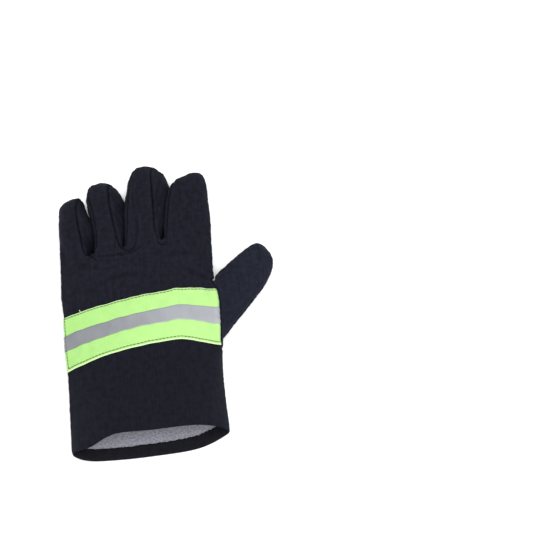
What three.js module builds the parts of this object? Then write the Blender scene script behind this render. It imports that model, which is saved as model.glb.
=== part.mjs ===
// A left-hand rescue glove, lying palm down and a little filled out, as it comes from the packet.
// Millimetres. +Z is up from the surface it lies on, +Y runs to the fingertips, +X to the thumb.
// The origin is on the flat underside of the palm, in the middle of the body's width.
//
// The glove is cut from navy cotton cloth: a back panel, a palm panel, three strips between the
// fingers (fourchettes) and a two-piece thumb. A hem facing and a grey felt lining show in its
// mouth, and a lime band with a silver stripe is sewn across its back.
//
// One cage of four-sided faces follows the panels, as the cloth does. It is smoothed once, and each
// piece is a wall raised on its own faces, so that neighbours meet along a seam.
import * as THREE from "three";

// Lengths along the glove, from the hem to the fingertips.
const gauntletLength = 76; // back hem to the band's lower edge
const hemDepth = 8; // cloth turned in at the mouth
const tapeWidth = 50; // the lime band
const stripeWidth = 13; // the silver stripe on it
const stripeStep = 17.5; // the stripe's lower edge, from the band's
const palmLength = 52; // the band's upper edge to the crotch of the fingers
const bandStart = -6; // the band's lower edge, from the origin
const hemBulge = 11; // how far the palm's hem stands out beyond the back's
const hemSlant = 4; // rise of half a hem towards the thumb
const bandSlant = 5.2; // the same of the band
const crotchSlant = 8; // the same of the line of crotches

// Widths across it.
const knuckleWidth = 133;
const cuffWidth = 129;

// Heights above the surface.
const mouthHeight = 38;
const bandHeight = 36;
const knuckleHeight = 25;
const fingerHeight = 22;
const thumbHeight = 19;
const sideSeamHeight = 9; // where the back meets the palm, along the sides

// Fingers, from their crotch line to the tip.
const littleLength = 66;
const ringLength = 77;
const middleLength = 86;
const indexLength = 70;

// Thumb: how far it stands out of the side, its length along the glove, and its crotch from the
// band's upper edge.
const thumbReach = 55;
const thumbLength = 96;
const thumbCrotch = 7;

// Walls and the clearance between two pieces.
const clothWall = 1.5;
const facingWall = 1;
const liningWall = 1.5;
const tapeWall = 1;
const stripeWall = 0.6;
const pieceGap = 0.3;

// Shape of a cross-section of the body, as shares of half its width.
const edgeShare = 0.93; // the outermost column of the back and palm
const thumbEdge = 1; // the same of the back beside the thumb, where it hangs over the seam
const flatShare = 0.78; // how far out the palm lies flat
const backRim = 0.98; // the back's height is taken no further out than this
const backFullness = 2.4; // the power of its curve: 2 is an ellipse, more is squarer
const sideOvershoot = 0.0315; // smoothing draws a side in, so its corners stand out by this much

// Shape of a cross-section of a finger or thumb, as shares of its width and height.
const outerInset = 0.13; // how far in the back and palm end at an outer side seam
const innerInset = 0.09; // the same at a strip between two fingers
const shoulder = 0.82; // height of the back's edges
const sideLevel = 0.42; // height of the side seam
const outerSwell = 0.05; // how far a side stands out before smoothing, at an outer side seam
const innerSwell = 0.06; // the same at a strip
const tipLevel = 0.48; // height of the tip's point
const tipReach = 1.03; // how far out it lies, before smoothing
const webLevel = 0.45; // height of the middle of the strip at the crotch

// Each row of the cage across the body: its place along the glove, the rise of half of it towards
// the thumb, its half width, the height of its ridge and how far that lies towards the thumb, the
// palm's extra length, the outermost column of the back on the right, and the share of the way
// from even columns at the mouth to the finger columns.
const bandTop = bandStart + tapeWidth;
const stripeStart = bandStart + stripeStep;
const crotchLine = bandTop + palmLength;
const hemLine = bandStart - gauntletLength;
const midGauntlet = hemLine + gauntletLength * 0.55;
const stripeEnd = stripeStart + stripeWidth;
const cuff = { half: cuffWidth / 2, high: mouthHeight, slant: hemSlant, bulge: hemBulge, edge: edgeShare };
const band = { half: knuckleWidth / 2, high: bandHeight, slant: bandSlant, bulge: 0, edge: thumbEdge };
const rows = [
  { ...cuff, y: hemLine, crest: 0.08, blend: 0 },
  { ...cuff, y: hemLine + hemDepth, crest: 0.08, blend: 0.1 },
  { ...cuff, y: midGauntlet, crest: 0.2, blend: 0.25, bulge: hemBulge * 0.45 },
  { ...band, y: bandStart, crest: 0.3, blend: 0.4 },
  { ...band, y: stripeStart, crest: 0.3, blend: 0.5, high: bandHeight * 0.97, edge: thumbEdge + 0.02 },
  { ...band, y: stripeEnd, crest: 0.3, blend: 0.6, high: bandHeight * 0.93, edge: thumbEdge + 0.04 },
  { ...band, y: bandTop, crest: 0.3, blend: 0.72, high: bandHeight * 0.87, edge: thumbEdge + 0.05 },
  { ...band, y: bandTop + thumbCrotch, crest: 0.3, blend: 0.8, high: bandHeight * 0.82 },
  { ...band, y: crotchLine, crest: 0.2, blend: 1, high: knuckleHeight, slant: crotchSlant, edge: edgeShare },
];

// The rows that bound the facing, the band, the stripe and the thumb's opening, and the last one.
const hemRow = 1;
const bandRows = [3, 6];
const stripeRows = [4, 5];
const thumbRows = [3, 7];
const knuckleRow = rows.length - 1;

// Each finger: its three columns at the crotch line and its tip, as shares of half the body's
// width, which of its sides is an outer side seam, and its sections. A section has its share of the
// finger's length, its left and right outline as shares of half the body's width, where the seam
// of its back lies across it, its rise from left to right and its share of the height.
const fingers = [
  {
    name: "little", length: littleLength, columns: [-0.93, -0.8, -0.65], tip: -0.73, outer: "left",
    sections: [
      { along: 0.24, left: -1, right: -0.575, seam: 0.74, rise: 2, high: 1 },
      { along: 0.56, left: -1, right: -0.6, seam: 0.74, rise: 1, high: 1 },
      { along: 0.81, left: -0.99, right: -0.635, seam: 0.72, rise: 2, high: 0.94 },
      { along: 0.95, left: -0.92, right: -0.67, seam: 0.72, rise: 3, high: 0.7 },
    ],
  },
  {
    name: "ring", length: ringLength, columns: [-0.51, -0.35, -0.18], tip: -0.35, outer: "",
    sections: [
      { along: 0.22, left: -0.55, right: -0.1, seam: 0.7, rise: 2, high: 1.02 },
      { along: 0.52, left: -0.59, right: -0.085, seam: 0.63, rise: 1, high: 1.04 },
      { along: 0.79, left: -0.63, right: -0.155, seam: 0.61, rise: 0, high: 0.96 },
      { along: 0.95, left: -0.545, right: -0.235, seam: 0.6, rise: -1, high: 0.72 },
    ],
  },
  {
    name: "middle", length: middleLength, columns: [-0.085, 0.09, 0.27], tip: 0.29, outer: "",
    sections: [
      { along: 0.22, left: -0.085, right: 0.39, seam: 0.64, rise: 1, high: 1.04 },
      { along: 0.52, left: -0.06, right: 0.44, seam: 0.57, rise: 1, high: 1.06 },
      { along: 0.79, left: -0.055, right: 0.465, seam: 0.5, rise: -1, high: 0.98 },
      { along: 0.95, left: 0.03, right: 0.41, seam: 0.46, rise: -1, high: 0.72 },
    ],
  },
  {
    name: "index", length: indexLength, columns: [0.39, 0.68, 0.93], tip: 0.84, outer: "right",
    sections: [
      { along: 0.22, left: 0.395, right: 1.005, seam: 0.88, rise: 2, high: 1.04 },
      { along: 0.52, left: 0.45, right: 1.005, seam: 0.88, rise: 2, high: 1.04 },
      { along: 0.79, left: 0.53, right: 1, seam: 0.88, rise: 4, high: 0.96 },
      { along: 0.95, left: 0.65, right: 0.93, seam: 0.88, rise: 4, high: 0.72 },
    ],
  },
];

// Each section of the thumb: the ends of its upper edge, towards the fingers, and of its lower
// edge, as shares of the reach and of the length from the thumb's root, and its share of the height.
const thumbSections = [
  { upperOut: 0.1, upperUp: 0.66, lowerOut: 0.08, lowerUp: 0.03, high: 0.92 },
  { upperOut: 0.31, upperUp: 0.79, lowerOut: 0.41, lowerUp: 0.24, high: 1 },
  { upperOut: 0.53, upperUp: 0.9, lowerOut: 0.7, lowerUp: 0.43, high: 1 },
  { upperOut: 0.7, upperUp: 0.965, lowerOut: 0.915, lowerUp: 0.61, high: 0.94 },
  { upperOut: 0.84, upperUp: 0.99, lowerOut: 1.03, lowerUp: 0.79, high: 0.7 },
];

// The cage: points, and four-sided faces that know their panel and row.
const points = [];
const faces = [];
const addPoint = (x, y, z) => points.push(new THREE.Vector3(x, y, z)) - 1;
const addFace = (panel, row, ...corners) => faces.push({ panel, row, corners });

// The body's rings. A ring runs over the back from left to right, and returns under the palm.
const columns = fingers.flatMap((finger) => finger.columns);
const last = columns.length - 1;

function columnShare(row, column) {
  const even = edgeShare * (-1 + (2 * column) / last);
  return THREE.MathUtils.lerp(even, columns[column], row.blend);
}

function backHeight(row, column) {
  const share = Math.min(column, backRim);
  const skewed = share - row.crest * (1 - share * share);
  return sideSeamHeight + (row.high - sideSeamHeight) * Math.sqrt(1 - Math.abs(skewed) ** backFullness);
}

function palmHeight(share) {
  const past = Math.max(0, (Math.abs(share) - flatShare) / (1 - flatShare));
  return sideSeamHeight * past * past;
}

const rings = rows.map((row) => {
  const ring = { back: [], palm: [], left: 0, right: 0 };
  for (let column = 0; column <= last; column++) {
    const share = columnShare(row, column);
    const backShare = column === last ? row.edge : share;
    const y = row.y + row.slant * share;
    ring.back.push(addPoint(backShare * row.half, y, backHeight(row, backShare)));
    ring.palm.push(addPoint(share * row.half, y - row.bulge * (1 - share * share), palmHeight(share)));
  }
  const side = row.half * (1 + sideOvershoot);
  ring.left = addPoint(-side, row.y - row.slant, sideSeamHeight);
  ring.right = addPoint(side, row.y + row.slant, sideSeamHeight);
  return ring;
});

const hasThumb = (row) => row >= thumbRows[0] && row < thumbRows[1];
for (let row = 0; row < knuckleRow; row++) {
  const near = rings[row];
  const far = rings[row + 1];
  for (let column = 0; column < last; column++) {
    addFace("back", row, near.back[column], near.back[column + 1], far.back[column + 1], far.back[column]);
    addFace("palm", row, far.palm[column], far.palm[column + 1], near.palm[column + 1], near.palm[column]);
  }
  addFace("back", row, near.left, near.back[0], far.back[0], far.left);
  addFace("palm", row, near.palm[0], near.left, far.left, far.palm[0]);
  if (!hasThumb(row)) {
    addFace("back", row, near.back[last], near.right, far.right, far.back[last]);
    addFace("palm", row, near.right, near.palm[last], far.palm[last], far.right);
  }
}

// A finger's ring: back left, middle and right, the right side, and the same under the palm and
// on the left side. The first ring is the body's own, at the crotch line.
const knuckles = rings[knuckleRow];
const webMiddles = columns.map((share, column) => {
  if (column === 0) return knuckles.left;
  if (column === last) return knuckles.right;
  if (column % 3 === 1) return -1;
  const back = points[knuckles.back[column]];
  return addPoint(back.x, back.y, back.z * webLevel);
});

function fingerRing(finger, section) {
  const left = (section.left * knuckleWidth) / 2;
  const width = (section.right * knuckleWidth) / 2 - left;
  const start = crotchLine + crotchSlant * finger.columns[1];
  const high = fingerHeight * section.high;
  const place = (share, level) =>
    addPoint(
      left + share * width,
      start + section.along * finger.length + section.rise * (2 * share - 1),
      level * high,
    );
  const leftInset = finger.outer === "left" ? outerInset : innerInset;
  const rightInset = finger.outer === "right" ? outerInset : innerInset;
  const leftSwell = finger.outer === "left" ? outerSwell : innerSwell;
  const rightSwell = finger.outer === "right" ? outerSwell : innerSwell;
  return [
    place(leftInset, shoulder),
    place(section.seam / 2, 1),
    place(section.seam, finger.outer === "right" ? shoulder : (1 + shoulder) / 2),
    place(1 + rightSwell, sideLevel),
    place(1 - rightInset, 0),
    place(0.5, 0),
    place(leftInset, 0),
    place(-leftSwell, sideLevel),
  ];
}

const stripName = (index) => `fourchette_${fingers[index - 1].name}_${fingers[index].name}`;

fingers.forEach((finger, index) => {
  const first = index * 3;
  let ring = [
    knuckles.back[first], knuckles.back[first + 1], knuckles.back[first + 2], webMiddles[first + 2],
    knuckles.palm[first + 2], knuckles.palm[first + 1], knuckles.palm[first], webMiddles[first],
  ];
  const rightSide = finger.outer === "right" ? ["back", "palm"] : Array(2).fill(stripName(index + 1));
  const leftSide = finger.outer === "left" ? ["palm", "back"] : Array(2).fill(stripName(index));
  const panels = ["back", "back", ...rightSide, "palm", "palm", ...leftSide];
  for (const section of finger.sections) {
    const next = fingerRing(finger, section);
    panels.forEach((panel, side) => {
      const after = (side + 1) % ring.length;
      addFace(panel, knuckleRow, ring[side], ring[after], next[after], next[side]);
    });
    ring = next;
  }
  const tip = addPoint(
    (finger.tip * knuckleWidth) / 2,
    crotchLine + crotchSlant * finger.columns[1] + finger.length * tipReach,
    fingerHeight * finger.sections.at(-1).high * tipLevel,
  );
  addFace("back", knuckleRow, ring[7], ring[0], ring[1], tip);
  addFace("back", knuckleRow, tip, ring[1], ring[2], ring[3]);
  addFace("palm", knuckleRow, tip, ring[3], ring[4], ring[5]);
  addFace("palm", knuckleRow, ring[6], ring[7], tip, ring[5]);
});

// The strip between two fingers turns round at the crotch.
for (let strip = 1; strip < fingers.length; strip++) {
  const left = strip * 3 - 1;
  const right = left + 1;
  const { back, palm } = knuckles;
  addFace(stripName(strip), knuckleRow, back[left], back[right], webMiddles[right], webMiddles[left]);
  addFace(stripName(strip), knuckleRow, webMiddles[left], webMiddles[right], palm[right], palm[left]);
}

// The thumb grows from the open stretch of the right side, beside the band. Its ring runs up its
// back from the lower edge to the upper, and returns over its front.
const root = rings.slice(thumbRows[0], thumbRows[1] + 1);
let thumbRing = [
  ...root.map((ring) => ring.back[last]),
  root.at(-1).right,
  ...root.map((ring) => ring.palm[last]).reverse(),
  root[0].right,
];
const thumbShares = [0.06, 0.28, 0.5, 0.72, 0.94];
const thumbLevels = [shoulder, 1, 1, 1, shoulder];
const thumbSides = thumbShares.length;
const rootX = (knuckleWidth / 2) * edgeShare;
const rootY = bandStart + bandSlant;

function thumbRingAt(section) {
  const high = thumbHeight * section.high;
  const place = (share, level) =>
    addPoint(
      rootX + thumbReach * THREE.MathUtils.lerp(section.lowerOut, section.upperOut, share),
      rootY + thumbLength * THREE.MathUtils.lerp(section.lowerUp, section.upperUp, share),
      level * high,
    );
  const back = thumbShares.map((share, at) => place(share, thumbLevels[at]));
  const upper = place(1 + outerSwell, sideLevel);
  const front = thumbShares.map((share) => place(share, 0)).reverse();
  return [...back, upper, ...front, place(-outerSwell, sideLevel)];
}

const isBackSide = (side) => side < thumbSides || side === 2 * thumbSides + 1;
for (const section of thumbSections) {
  const next = thumbRingAt(section);
  next.forEach((point, side) => {
    const after = (side + 1) % next.length;
    const panel = isBackSide(side) ? "thumb_back" : "thumb_front";
    addFace(panel, thumbRows[0], thumbRing[after], thumbRing[side], point, next[after]);
  });
  thumbRing = next;
}

// Its tip closes with a line of three points, between the middles of back and front.
const thumbTip = thumbSections.at(-1);
const tipLine = thumbShares.slice(1, -1).map((share) =>
  addPoint(
    rootX + thumbReach * (THREE.MathUtils.lerp(thumbTip.lowerOut, thumbTip.upperOut, share) + tipReach - 1),
    rootY + thumbLength * (THREE.MathUtils.lerp(thumbTip.lowerUp, thumbTip.upperUp, share) + tipReach - 1),
    thumbHeight * thumbTip.high * tipLevel,
  ),
);
const [lowerTip, middleTip, upperTip] = tipLine;
addFace("thumb_back", thumbRows[0], thumbRing[1], thumbRing[0], thumbRing[11], lowerTip);
addFace("thumb_back", thumbRows[0], thumbRing[2], thumbRing[1], lowerTip, middleTip);
addFace("thumb_back", thumbRows[0], thumbRing[3], thumbRing[2], middleTip, upperTip);
addFace("thumb_back", thumbRows[0], thumbRing[4], thumbRing[3], upperTip, thumbRing[5]);
addFace("thumb_front", thumbRows[0], lowerTip, thumbRing[11], thumbRing[10], thumbRing[9]);
addFace("thumb_front", thumbRows[0], middleTip, lowerTip, thumbRing[9], thumbRing[8]);
addFace("thumb_front", thumbRows[0], upperTip, middleTip, thumbRing[8], thumbRing[7]);
addFace("thumb_front", thumbRows[0], thumbRing[5], upperTip, thumbRing[7], thumbRing[6]);

// Seams of the strips between the fingers stay sharp, and so does the rim of the mouth.
const isStrip = (panel) => panel.startsWith("fourchette");
const edgeKey = (a, b) => (a < b ? `${a}_${b}` : `${b}_${a}`);

function edgesOf(mesh) {
  const edges = new Map();
  mesh.faces.forEach((face, index) => {
    face.corners.forEach((from, corner) => {
      const to = face.corners[(corner + 1) % 4];
      const key = edgeKey(from, to);
      if (!edges.has(key)) edges.set(key, { ends: [from, to], faces: [] });
      edges.get(key).faces.push(index);
    });
  });
  for (const edge of edges.values()) {
    const panels = edge.faces.map((index) => mesh.faces[index].panel);
    edge.sharp = panels.length === 1 || (panels[0] !== panels[1] && panels.some(isStrip));
  }
  return edges;
}

const meanOf = (vectors) =>
  vectors.reduce((sum, vector) => sum.add(vector), new THREE.Vector3()).divideScalar(vectors.length);

// One round of Catmull and Clark's smoothing: each face becomes four.
function smoothed(mesh) {
  const edges = edgesOf(mesh);
  const made = mesh.points.map((point) => point.clone());
  const centres = mesh.faces.map((face) => meanOf(face.corners.map((corner) => mesh.points[corner])));
  const centreIds = centres.map((centre) => made.push(centre) - 1);
  const around = mesh.points.map(() => ({ centres: new Set(), middles: [], sharp: [] }));
  for (const edge of edges.values()) {
    const [a, b] = edge.ends.map((end) => mesh.points[end]);
    const middle = meanOf([a, b]);
    const soft = meanOf([a, b, ...edge.faces.map((index) => centres[index])]);
    edge.id = made.push(edge.sharp ? middle.clone() : soft) - 1;
    edge.ends.forEach((end, which) => {
      around[end].middles.push(middle);
      edge.faces.forEach((index) => around[end].centres.add(index));
      if (edge.sharp) around[end].sharp.push(which === 0 ? b : a);
    });
  }
  around.forEach((ring, index) => {
    const point = mesh.points[index];
    const count = ring.middles.length;
    if (ring.sharp.length === 2) {
      made[index] = point.clone().multiplyScalar(6).add(ring.sharp[0]).add(ring.sharp[1]).divideScalar(8);
    } else if (ring.sharp.length < 2) {
      made[index] = meanOf([...ring.centres].map((face) => centres[face]))
        .addScaledVector(meanOf(ring.middles), 2)
        .addScaledVector(point, count - 3)
        .divideScalar(count);
    }
  });
  const split = mesh.faces.flatMap((face, index) =>
    face.corners.map((corner, at) => {
      const next = edges.get(edgeKey(corner, face.corners[(at + 1) % 4])).id;
      const previous = edges.get(edgeKey(face.corners[(at + 3) % 4], corner)).id;
      return { ...face, from: corner, corners: [corner, next, centreIds[index], previous] };
    }),
  );
  return { points: made, faces: split };
}

const skin = smoothed({ points, faces });

// Outward direction at each point, longer at a sharp fold so that a wall keeps its thickness.
const longestMitre = 1.35;
const faceNormals = skin.faces.map(({ corners }) => {
  const [a, b, c, d] = corners.map((corner) => skin.points[corner]);
  return new THREE.Vector3().crossVectors(c.clone().sub(a), d.clone().sub(b)).normalize();
});
const outward = skin.points.map(() => []);
skin.faces.forEach(({ corners }, index) => {
  corners.forEach((corner) => outward[corner].push(faceNormals[index]));
});
const directions = outward.map((normals) => {
  const mean = meanOf(normals).normalize();
  const least = Math.min(...normals.map((normal) => normal.dot(mean)));
  return mean.multiplyScalar(Math.min(longestMitre, 1 / Math.max(least, 0.1)));
});

// A piece is a wall on the faces that its test picks, from one depth to another, both measured
// outwards from the skin. Its edges keep half a gap to the seam.
function wallOn(test, outer, inner) {
  const chosen = skin.faces.filter(test);
  const directed = new Set();
  for (const { corners } of chosen) {
    corners.forEach((from, at) => directed.add(`${from}_${corners[(at + 1) % 4]}`));
  }
  const borders = [];
  const inwards = new Map();
  for (const { corners } of chosen) {
    corners.forEach((from, at) => {
      const to = corners[(at + 1) % 4];
      if (directed.has(`${to}_${from}`)) return;
      borders.push([from, to]);
      const along = skin.points[to].clone().sub(skin.points[from]).normalize();
      const inward = meanOf(corners.map((corner) => skin.points[corner])).sub(skin.points[from]);
      inward.addScaledVector(along, -inward.dot(along)).normalize();
      for (const end of [from, to]) {
        if (!inwards.has(end)) inwards.set(end, []);
        inwards.get(end).push(inward);
      }
    });
  }
  const used = [...new Set(chosen.flatMap(({ corners }) => corners))];
  const ids = new Map(used.map((point, index) => [point, index]));
  const place = (point, depth) => {
    const at = skin.points[point].clone().addScaledVector(directions[point], depth);
    if (inwards.has(point)) {
      const inward = meanOf(inwards.get(point));
      at.addScaledVector(inward, pieceGap / 2 / Math.max(inward.lengthSq(), 0.2));
    }
    return at;
  };
  const positions = [outer, inner].flatMap((depth) => used.map((point) => place(point, depth)));
  const count = used.length;
  const index = [];
  for (const { corners } of chosen) {
    const [a, b, c, d] = corners.map((corner) => ids.get(corner));
    index.push(a, b, c, a, c, d);
    index.push(a + count, c + count, b + count, a + count, d + count, c + count);
  }
  for (const [from, to] of borders) {
    const [a, b] = [ids.get(from), ids.get(to)];
    index.push(b, a, a + count, b, a + count, b + count);
  }
  const geometry = new THREE.BufferGeometry().setFromPoints(positions);
  geometry.setIndex(index);
  geometry.computeVertexNormals();
  return geometry;
}

const cloth = new THREE.MeshStandardMaterial({ color: 0x1b1d27, roughness: 0.92, metalness: 0 });
const felt = new THREE.MeshStandardMaterial({ color: 0x8e8e96, roughness: 0.98, metalness: 0 });
const lime = new THREE.MeshStandardMaterial({ color: 0xb9f55f, roughness: 0.6, metalness: 0 });
const silver = new THREE.MeshStandardMaterial({ color: 0xb4b6bd, roughness: 0.35, metalness: 0.4 });

const glove = new THREE.Group();
function addPiece(name, material, test, outer, inner) {
  const piece = new THREE.Mesh(wallOn(test, outer, inner), material);
  piece.name = name;
  glove.add(piece);
}

// Cloth panels: their outer face is the skin.
const onPanel = (panel) => (face) => face.panel === panel;
addPiece("back_panel", cloth, onPanel("back"), 0, -clothWall);
addPiece("palm_panel", cloth, onPanel("palm"), 0, -clothWall);
for (let strip = 1; strip < fingers.length; strip++) {
  addPiece(stripName(strip), cloth, onPanel(stripName(strip)), 0, -clothWall);
}
addPiece("thumb_back", cloth, onPanel("thumb_back"), 0, -clothWall);
addPiece("thumb_front", cloth, onPanel("thumb_front"), 0, -clothWall);

// Inside the body: the turned-in hem, then the felt from there to the band's upper edge.
const insideStart = -(clothWall + pieceGap);
const inBody = (face) => face.row < bandRows[1] && (face.panel === "back" || face.panel === "palm");
const onFacing = (face) => inBody(face) && face.row < hemRow;
const onLining = (face) => inBody(face) && face.row >= hemRow;
addPiece("cuff_facing", cloth, onFacing, insideStart, insideStart - facingWall);
addPiece("lining", felt, onLining, insideStart, insideStart - liningWall);

// Across the back: the band, and the stripe on it. Both stop short of the left side seam.
const leftSeam = new Set(rings.map((ring) => ring.left));
function between(face, [from, to]) {
  return face.panel === "back" && face.row >= from && face.row < to && !leftSeam.has(face.from);
}
const bandTopFace = pieceGap + tapeWall;
const stripeBase = bandTopFace + pieceGap;
addPiece("reflective_band", lime, (face) => between(face, bandRows), bandTopFace, pieceGap);
addPiece("reflective_stripe", silver, (face) => between(face, stripeRows), stripeBase + stripeWall, stripeBase);

export default glove;
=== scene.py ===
import math

import bmesh
import bpy
import numpy as np
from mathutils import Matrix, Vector, kdtree, noise


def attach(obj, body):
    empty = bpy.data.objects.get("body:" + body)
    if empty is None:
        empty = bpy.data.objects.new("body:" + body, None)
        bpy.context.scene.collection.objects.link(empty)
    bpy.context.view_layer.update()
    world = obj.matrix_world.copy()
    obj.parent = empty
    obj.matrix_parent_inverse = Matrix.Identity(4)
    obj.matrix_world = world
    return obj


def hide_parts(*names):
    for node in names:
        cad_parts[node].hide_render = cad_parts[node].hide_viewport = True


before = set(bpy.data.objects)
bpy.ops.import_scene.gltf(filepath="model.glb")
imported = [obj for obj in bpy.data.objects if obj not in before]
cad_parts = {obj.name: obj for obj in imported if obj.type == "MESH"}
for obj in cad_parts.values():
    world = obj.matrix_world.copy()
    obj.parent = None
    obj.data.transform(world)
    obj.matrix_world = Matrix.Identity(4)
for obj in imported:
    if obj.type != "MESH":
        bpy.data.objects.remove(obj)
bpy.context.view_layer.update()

# The camera looks down on the glove as the photograph does, from about 62 degrees above the floor
# and a little to the left of the glove's own line. The floor, a sheet of white paper, is lit from
# all round by soft boxes, so that the dark cloth casts only a faint shadow.
PHOTO_PIXELS = 550
FOCAL_PIXELS = 1477.3
ELEVATION = math.radians(62)
AZIMUTH = math.radians(-6.3)
DISTANCE = 1.3
LOOK_AT = Vector((0.1195, 0.066, 0))
towards_camera = Vector((
    math.sin(AZIMUTH) * math.cos(ELEVATION),
    -math.cos(AZIMUTH) * math.cos(ELEVATION),
    math.sin(ELEVATION),
))
bpy.ops.object.camera_add(location=LOOK_AT + DISTANCE * towards_camera)
camera = bpy.context.object
camera.rotation_mode = "QUATERNION"
camera.rotation_quaternion = (-towards_camera).to_track_quat("-Z", "Y")
camera.data.lens = camera.data.sensor_width * FOCAL_PIXELS / PHOTO_PIXELS
bpy.context.scene.camera = camera

# The cloth shell: back, palm, three strips between the fingers and a two-piece thumb, cut from
# navy cotton canvas and sewn inside out, so that each seam is a narrow valley. It is boxed out in
# steps of one, from a grid at the knuckles back to the mouth and its lining, and out to the
# fingertips and the thumb. The tables then give each point its place, in millimetres.
MM = 0.001
COLUMNS = 11  # faces across the knuckles: two a finger and one a gap
KNUCKLES = 10  # the row of the knuckles, counted from the mouth
FINGER_STEPS = 4
THUMB_ROWS = (3, 7)
THUMB_STEPS = 5
INSIDE_ROWS = 8  # rows that turn in at the mouth and run back up inside
HEM_ROW = -1  # the inner end of the hem's roll
FACING_END = -3
FELT_START = -4


def pick_faces(test):
    """In edit mode, selects only the faces whose middle passes the test."""
    bpy.ops.mesh.select_all(action="DESELECT")
    edited = bmesh.from_edit_mesh(bpy.context.object.data)
    for face in edited.faces:
        face.select_set(test(face.calc_center_median()))
    bmesh.update_edit_mesh(bpy.context.object.data)


def draw_out(*step):
    """Extrudes what is selected by one step."""
    bpy.ops.mesh.extrude_region_move(TRANSFORM_OT_translate={"value": step})


bpy.ops.object.select_all(action="DESELECT")
bpy.ops.mesh.primitive_grid_add(x_subdivisions=COLUMNS, y_subdivisions=2, size=1)
shell = bpy.context.object
shell.name = "shell"
shell.rotation_euler = (math.pi / 2, 0, 0)
shell.scale = (COLUMNS, 2, 1)
shell.location = (COLUMNS / 2, KNUCKLES, 1)
bpy.ops.object.transform_apply(location=True, rotation=True, scale=True)
bpy.ops.object.mode_set(mode="EDIT")
bpy.ops.mesh.select_mode(type="FACE")
for finger in range(4):
    first = 3 * finger
    pick_faces(lambda middle: first < middle.x < first + 2 and abs(middle.y - KNUCKLES) < 0.1)
    for step in range(FINGER_STEPS):
        draw_out(0, 1, 0)
bpy.ops.mesh.select_mode(type="EDGE")
bpy.ops.mesh.select_all(action="DESELECT")
edited = bmesh.from_edit_mesh(shell.data)
for edge in edited.edges:
    edge.select_set(edge.is_boundary)
bmesh.update_edit_mesh(shell.data)
for row in range(KNUCKLES + INSIDE_ROWS):
    draw_out(0, -1, 0)
bpy.ops.mesh.select_mode(type="FACE")
pick_faces(lambda middle: middle.x > COLUMNS - 0.1 and THUMB_ROWS[0] < middle.y < THUMB_ROWS[1])
for step in range(THUMB_STEPS):
    draw_out(1, 0, 0)
bpy.ops.mesh.select_all(action="SELECT")
bpy.ops.mesh.normals_make_consistent(inside=False)
bpy.ops.object.mode_set(mode="OBJECT")

# Each face belongs to one sewn panel, told by its place in the boxed-out glove.
panels = (
    "back", "palm", "strip_little_ring", "strip_ring_middle", "strip_middle_index", "thumb_back",
    "thumb_front", "facing", "felt",
)
outer_panels = range(7)
strips = range(2, 5)


def panel_of(middle, normal):
    """The panel that a face of the boxed-out glove is cut from, or None for no face there."""
    if middle.y < FACING_END:
        return None if middle.y > FELT_START else "felt"
    if middle.y < HEM_ROW:
        return "facing"
    if middle.x > COLUMNS + 0.1:
        return "thumb_back" if middle.z > 1 else "thumb_front"
    between = middle.y > KNUCKLES - 0.1 and abs(normal.x) > 0.5 and 1 < middle.x < COLUMNS - 1
    floor = abs(middle.y - KNUCKLES) < 0.1 and normal.y > 0.5
    if between or floor:
        return panels[strips[round((middle.x - 2.5) / 3)]]
    return "back" if middle.z > 1 else "palm"


cut = [panel_of(face.center, face.normal) for face in shell.data.polygons]
for face, panel in zip(shell.data.polygons, cut):
    face.material_index = panels.index(panel) if panel else 0
bpy.ops.object.mode_set(mode="EDIT")
bpy.ops.mesh.select_mode(type="FACE")
pick_faces(lambda middle: FELT_START < middle.y < FACING_END)
bpy.ops.mesh.delete(type="FACE")
bpy.ops.object.mode_set(mode="OBJECT")

# The section tables, in millimetres, with widths as shares of half the body's width.
HEM_Y = -82.6
BAND_Y = -6.0
CROTCH_Y = 96.0
HALF_KNUCKLES = 66.5
SIDE_SEAM = 9.0  # height of the seam between back and palm
EDGE = 0.93  # the outermost column
CLOTH = 1.2  # thickness
ROUNDNESS = 2.6  # of the back's section: 2 is an ellipse, and more is squarer
PALM_FLAT = 0.8  # the share of the palm's width that lies flat
DROP_FROM = 0.4  # the band hangs at its right end, from this share of the width on
DROP_OVER = 0.55
body_columns = (-0.93, -0.8, -0.655, -0.525, -0.35, -0.19, -0.12, 0.09, 0.295, 0.4, 0.68, 0.93)
CROTCH_RISE = 8
BAND_RISE = 5.2
# From the mouth to the knuckles: place along the glove, shift sideways, rise of half a row towards
# the thumb, half width, height, place of the ridge, how far the row follows the mouth's uneven
# edge, outermost column of the back beside the thumb, how far its right end hangs, and how far the
# columns have run towards the fingers.
body_names = ("y", "lean", "rise", "half", "high", "ridge", "mouth", "edge", "drop", "run")
body_rows = [dict(zip(body_names, row)) for row in (
    (HEM_Y, 0.7, 2.8, 65.8, 38, 0, 1, EDGE, 0, 0),
    (-74.6, 0.5, 3.2, 65.7, 38, 0.05, 0.95, EDGE, 0, 0.1),
    (-40.2, 0, 4.4, 64.7, 38, 0.26, 0.48, EDGE, 0, 0.25),
    (BAND_Y, -1.1, BAND_RISE, 64.1, 38.6, 0.4, 0, 1.125, 5.8, 0.4),
    (11.3, 0, BAND_RISE, 66.1, 36.6, 0.4, 0, 1.1, 4, 0.5),
    (23.4, 0, BAND_RISE, 66.5, 34.6, 0.4, 0, 1.11, 0.6, 0.6),
    (44, 0, BAND_RISE, 66.5, 31.8, 0.38, 0, 1.125, -1.4, 0.72),
    (52.8, -1, BAND_RISE, 66.3, 30, 0.3, 0, 1, 0, 0.8),
    (66, -1, 6.2, 67.1, 28, 0.25, 0, 0.94, 0, 0.9),
    (81, -0.1, 7.2, 67.5, 26.4, 0.22, 0, EDGE, 0, 0.97),
    (CROTCH_Y, 0.3, CROTCH_RISE, 67.3, 25, 0.2, 0, EDGE, 0, 1),
)]
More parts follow.
